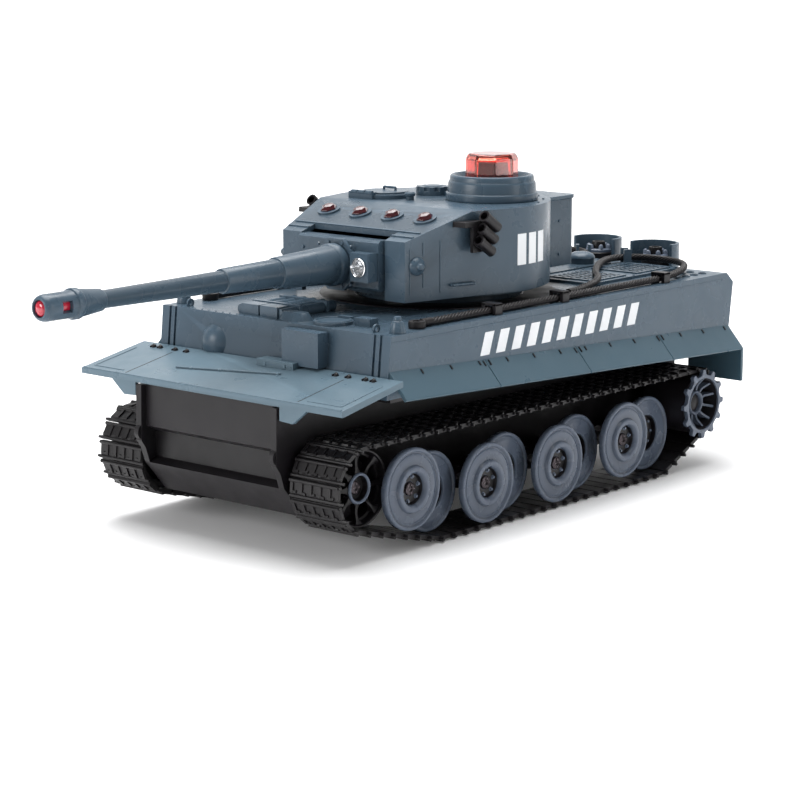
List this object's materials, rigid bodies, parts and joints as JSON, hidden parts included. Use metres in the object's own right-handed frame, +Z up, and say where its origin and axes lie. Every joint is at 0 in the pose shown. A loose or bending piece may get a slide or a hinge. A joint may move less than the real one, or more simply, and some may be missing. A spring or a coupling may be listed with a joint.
{
  "type": "radio-controlled toy battle tank",
  "caption": "Small radio-controlled toy battle tank: running gear with rubber tracks, turning turret, rising gun, red hit lights and a beacon on the turret roof.",
  "frame": {"origin": "on the floor under the middle of the overall length and width, the barrel included", "axes": "+Z up, the gun points along -Y, the tank's left side is towards +X"},
  "size_m": [0.1076, 0.282, 0.1095],
  "materials": {
    "blue_grey_plastic": "satin moulded plastic",
    "wheel_plastic": "satin moulded plastic",
    "dark_brown_plastic": "matte moulded plastic",
    "dark_trim_plastic": "matte moulded plastic",
    "track_rubber": "matte soft rubber",
    "black_plastic": "matte",
    "red_lens": "clear tinted, glossy",
    "lamp_chrome": "bright plated",
    "steel": "zinc plated",
    "gear_plastic": "self-coloured nylon",
    "brass": "machined",
    "board_green": "lacquered circuit board",
    "battery_sleeve": "shrink sleeve"
  },
  "bodies": {
    "hull": {"upper_hull": "blue_grey_plastic", "engine_deck": "blue_grey_plastic", "front_mudguard": "blue_grey_plastic", "side_skirt_left": "blue_grey_plastic", "side_skirt_right": "blue_grey_plastic", "lower_hull": "dark_brown_plastic", "battery_door": "dark_brown_plastic", "hull_screws": "steel", "wheel_axles": "steel", "wheel_screws": "steel", "gearboxes": "gear_plastic", "drive_motors": "steel", "track_left": "track_rubber", "track_right": "track_rubber", "turret_motor": "steel", "headlamps": "lamp_chrome", "exhaust_shrouds": "blue_grey_plastic", "exhaust_mufflers": "dark_trim_plastic", "tow_cables": "dark_trim_plastic", "battery_pack": "battery_sleeve", "circuit_board": "board_green", "speaker": "black_plastic"},
    "turret": {"turret_shell": "blue_grey_plastic", "turret_base": "blue_grey_plastic", "cupola": "blue_grey_plastic", "beacon_dome": "red_lens", "signal_receiver": "black_plastic", "hit_lenses": "red_lens", "stowage_bin": "blue_grey_plastic", "smoke_dischargers": "dark_trim_plastic"},
    "gun": {"mantlet": "blue_grey_plastic", "gun_barrel": "blue_grey_plastic", "muzzle_lens": "red_lens", "front_lamp": "lamp_chrome"},
    "turret_pinion": {"turret_pinion": "gear_plastic"},
    "power_switch": {"power_switch": "black_plastic"},
    "sprocket_left": {"drive_sprocket_left": "wheel_plastic", "drive_shaft_left": "gear_plastic"},
    "motor_pinion_left": {"motor_pinion_left": "brass"},
    "idler_left": {"idler_wheel_left": "dark_trim_plastic"},
    "road_wheel_outer_left_1": {"road_wheel_outer_left_1": "wheel_plastic"},
    "road_wheel_inner_left_1": {"road_wheel_inner_left_1": "wheel_plastic"},
    "road_wheel_outer_left_2": {"road_wheel_outer_left_2": "wheel_plastic"},
    "road_wheel_inner_left_2": {"road_wheel_inner_left_2": "wheel_plastic"},
    "road_wheel_outer_left_3": {"road_wheel_outer_left_3": "wheel_plastic"},
    "road_wheel_inner_left_3": {"road_wheel_inner_left_3": "wheel_plastic"},
    "road_wheel_outer_left_4": {"road_wheel_outer_left_4": "wheel_plastic"},
    "road_wheel_inner_left_4": {"road_wheel_inner_left_4": "wheel_plastic"},
    "sprocket_right": {"drive_sprocket_right": "wheel_plastic", "drive_shaft_right": "gear_plastic"},
    "motor_pinion_right": {"motor_pinion_right": "brass"},
    "idler_right": {"idler_wheel_right": "dark_trim_plastic"},
    "road_wheel_outer_right_1": {"road_wheel_outer_right_1": "wheel_plastic"},
    "road_wheel_inner_right_1": {"road_wheel_inner_right_1": "wheel_plastic"},
    "road_wheel_outer_right_2": {"road_wheel_outer_right_2": "wheel_plastic"},
    "road_wheel_inner_right_2": {"road_wheel_inner_right_2": "wheel_plastic"},
    "road_wheel_outer_right_3": {"road_wheel_outer_right_3": "wheel_plastic"},
    "road_wheel_inner_right_3": {"road_wheel_inner_right_3": "wheel_plastic"},
    "road_wheel_outer_right_4": {"road_wheel_outer_right_4": "wheel_plastic"},
    "road_wheel_inner_right_4": {"road_wheel_inner_right_4": "wheel_plastic"}
  },
  "joints": [
    {"name": "turret_yaw", "type": "hinge", "parent": "hull", "child": "turret", "pos_m": [0, 0.028, 0.0645], "axis": [0, 0, 1], "range_deg": [-160, 160]},
    {"name": "gun_elevation", "type": "hinge", "parent": "turret", "child": "gun", "pos_m": [0, -0.011, 0.0785], "axis": [-1, 0, 0], "range_deg": [-3, 15]},
    {"name": "turret_pinion_spin", "type": "hinge", "parent": "hull", "child": "turret_pinion", "pos_m": [0, -0.0077, 0.057], "axis": [0, 0, 1], "range_deg": [-970, 970]},
    {"name": "power_switch_slide", "type": "slide", "parent": "hull", "child": "power_switch", "axis": [1, 0, 0], "range_m": [0, 0.004]},
    {"name": "sprocket_spin_left", "type": "hinge", "parent": "hull", "child": "sprocket_left", "pos_m": [0, 0.1068, 0.0221], "axis": [1, 0, 0], "continuous": true},
    {"name": "motor_pinion_spin_left", "type": "hinge", "parent": "hull", "child": "motor_pinion_left", "pos_m": [0, 0.0964, 0.0221], "axis": [1, 0, 0], "continuous": true},
    {"name": "idler_spin_left", "type": "hinge", "parent": "hull", "child": "idler_left", "pos_m": [0, -0.0624, 0.0218], "axis": [1, 0, 0], "continuous": true},
    {"name": "outer_wheel_spin_left_1", "type": "hinge", "parent": "hull", "child": "road_wheel_outer_left_1", "pos_m": [0, -0.0431, 0.0187], "axis": [1, 0, 0], "continuous": true},
    {"name": "inner_wheel_spin_left_1", "type": "hinge", "parent": "hull", "child": "road_wheel_inner_left_1", "pos_m": [0, -0.0283, 0.0145], "axis": [1, 0, 0], "continuous": true},
    {"name": "outer_wheel_spin_left_2", "type": "hinge", "parent": "hull", "child": "road_wheel_outer_left_2", "pos_m": [0, -0.0077, 0.0145], "axis": [1, 0, 0], "continuous": true},
    {"name": "inner_wheel_spin_left_2", "type": "hinge", "parent": "hull", "child": "road_wheel_inner_left_2", "pos_m": [0, 0.0073, 0.0145], "axis": [1, 0, 0], "continuous": true},
    {"name": "outer_wheel_spin_left_3", "type": "hinge", "parent": "hull", "child": "road_wheel_outer_left_3", "pos_m": [0, 0.0279, 0.0145], "axis": [1, 0, 0], "continuous": true},
    {"name": "inner_wheel_spin_left_3", "type": "hinge", "parent": "hull", "child": "road_wheel_inner_left_3", "pos_m": [0, 0.0445, 0.0145], "axis": [1, 0, 0], "continuous": true},
    {"name": "outer_wheel_spin_left_4", "type": "hinge", "parent": "hull", "child": "road_wheel_outer_left_4", "pos_m": [0, 0.0638, 0.0163], "axis": [1, 0, 0], "continuous": true},
    {"name": "inner_wheel_spin_left_4", "type": "hinge", "parent": "hull", "child": "road_wheel_inner_left_4", "pos_m": [0, 0.0844, 0.0145], "axis": [1, 0, 0], "continuous": true},
    {"name": "sprocket_spin_right", "type": "hinge", "parent": "hull", "child": "sprocket_right", "pos_m": [0, 0.1068, 0.0221], "axis": [1, 0, 0], "continuous": true},
    {"name": "motor_pinion_spin_right", "type": "hinge", "parent": "hull", "child": "motor_pinion_right", "pos_m": [0, 0.0964, 0.0221], "axis": [1, 0, 0], "continuous": true},
    {"name": "idler_spin_right", "type": "hinge", "parent": "hull", "child": "idler_right", "pos_m": [0, -0.0624, 0.0218], "axis": [1, 0, 0], "continuous": true},
    {"name": "outer_wheel_spin_right_1", "type": "hinge", "parent": "hull", "child": "road_wheel_outer_right_1", "pos_m": [0, -0.0431, 0.0187], "axis": [1, 0, 0], "continuous": true},
    {"name": "inner_wheel_spin_right_1", "type": "hinge", "parent": "hull", "child": "road_wheel_inner_right_1", "pos_m": [0, -0.0283, 0.0145], "axis": [1, 0, 0], "continuous": true},
    {"name": "outer_wheel_spin_right_2", "type": "hinge", "parent": "hull", "child": "road_wheel_outer_right_2", "pos_m": [0, -0.0077, 0.0145], "axis": [1, 0, 0], "continuous": true},
    {"name": "inner_wheel_spin_right_2", "type": "hinge", "parent": "hull", "child": "road_wheel_inner_right_2", "pos_m": [0, 0.0073, 0.0145], "axis": [1, 0, 0], "continuous": true},
    {"name": "outer_wheel_spin_right_3", "type": "hinge", "parent": "hull", "child": "road_wheel_outer_right_3", "pos_m": [0, 0.0279, 0.0145], "axis": [1, 0, 0], "continuous": true},
    {"name": "inner_wheel_spin_right_3", "type": "hinge", "parent": "hull", "child": "road_wheel_inner_right_3", "pos_m": [0, 0.0445, 0.0145], "axis": [1, 0, 0], "continuous": true},
    {"name": "outer_wheel_spin_right_4", "type": "hinge", "parent": "hull", "child": "road_wheel_outer_right_4", "pos_m": [0, 0.0638, 0.0163], "axis": [1, 0, 0], "continuous": true},
    {"name": "inner_wheel_spin_right_4", "type": "hinge", "parent": "hull", "child": "road_wheel_inner_right_4", "pos_m": [0, 0.0844, 0.0145], "axis": [1, 0, 0], "continuous": true}
  ],
  "couplings": [
    {"joint": "turret_pinion_spin", "follows": "turret_yaw", "ratio": -6},
    {"joint": "motor_pinion_spin_left", "follows": "sprocket_spin_left", "ratio": -2.4},
    {"joint": "idler_spin_left", "follows": "sprocket_spin_left", "ratio": 0.8903},
    {"joint": "outer_wheel_spin_left_1", "follows": "sprocket_spin_left", "ratio": 0.834},
    {"joint": "inner_wheel_spin_left_1", "follows": "sprocket_spin_left", "ratio": 0.834},
    {"joint": "outer_wheel_spin_left_2", "follows": "sprocket_spin_left", "ratio": 0.834},
    {"joint": "inner_wheel_spin_left_2", "follows": "sprocket_spin_left", "ratio": 0.834},
    {"joint": "outer_wheel_spin_left_3", "follows": "sprocket_spin_left", "ratio": 0.834},
    {"joint": "inner_wheel_spin_left_3", "follows": "sprocket_spin_left", "ratio": 0.834},
    {"joint": "outer_wheel_spin_left_4", "follows": "sprocket_spin_left", "ratio": 0.834},
    {"joint": "inner_wheel_spin_left_4", "follows": "sprocket_spin_left", "ratio": 0.834},
    {"joint": "motor_pinion_spin_right", "follows": "sprocket_spin_right", "ratio": -2.4},
    {"joint": "idler_spin_right", "follows": "sprocket_spin_right", "ratio": 0.8903},
    {"joint": "outer_wheel_spin_right_1", "follows": "sprocket_spin_right", "ratio": 0.834},
    {"joint": "inner_wheel_spin_right_1", "follows": "sprocket_spin_right", "ratio": 0.834},
    {"joint": "outer_wheel_spin_right_2", "follows": "sprocket_spin_right", "ratio": 0.834},
    {"joint": "inner_wheel_spin_right_2", "follows": "sprocket_spin_right", "ratio": 0.834},
    {"joint": "outer_wheel_spin_right_3", "follows": "sprocket_spin_right", "ratio": 0.834},
    {"joint": "inner_wheel_spin_right_3", "follows": "sprocket_spin_right", "ratio": 0.834},
    {"joint": "outer_wheel_spin_right_4", "follows": "sprocket_spin_right", "ratio": 0.834},
    {"joint": "inner_wheel_spin_right_4", "follows": "sprocket_spin_right", "ratio": 0.834}
  ]
}
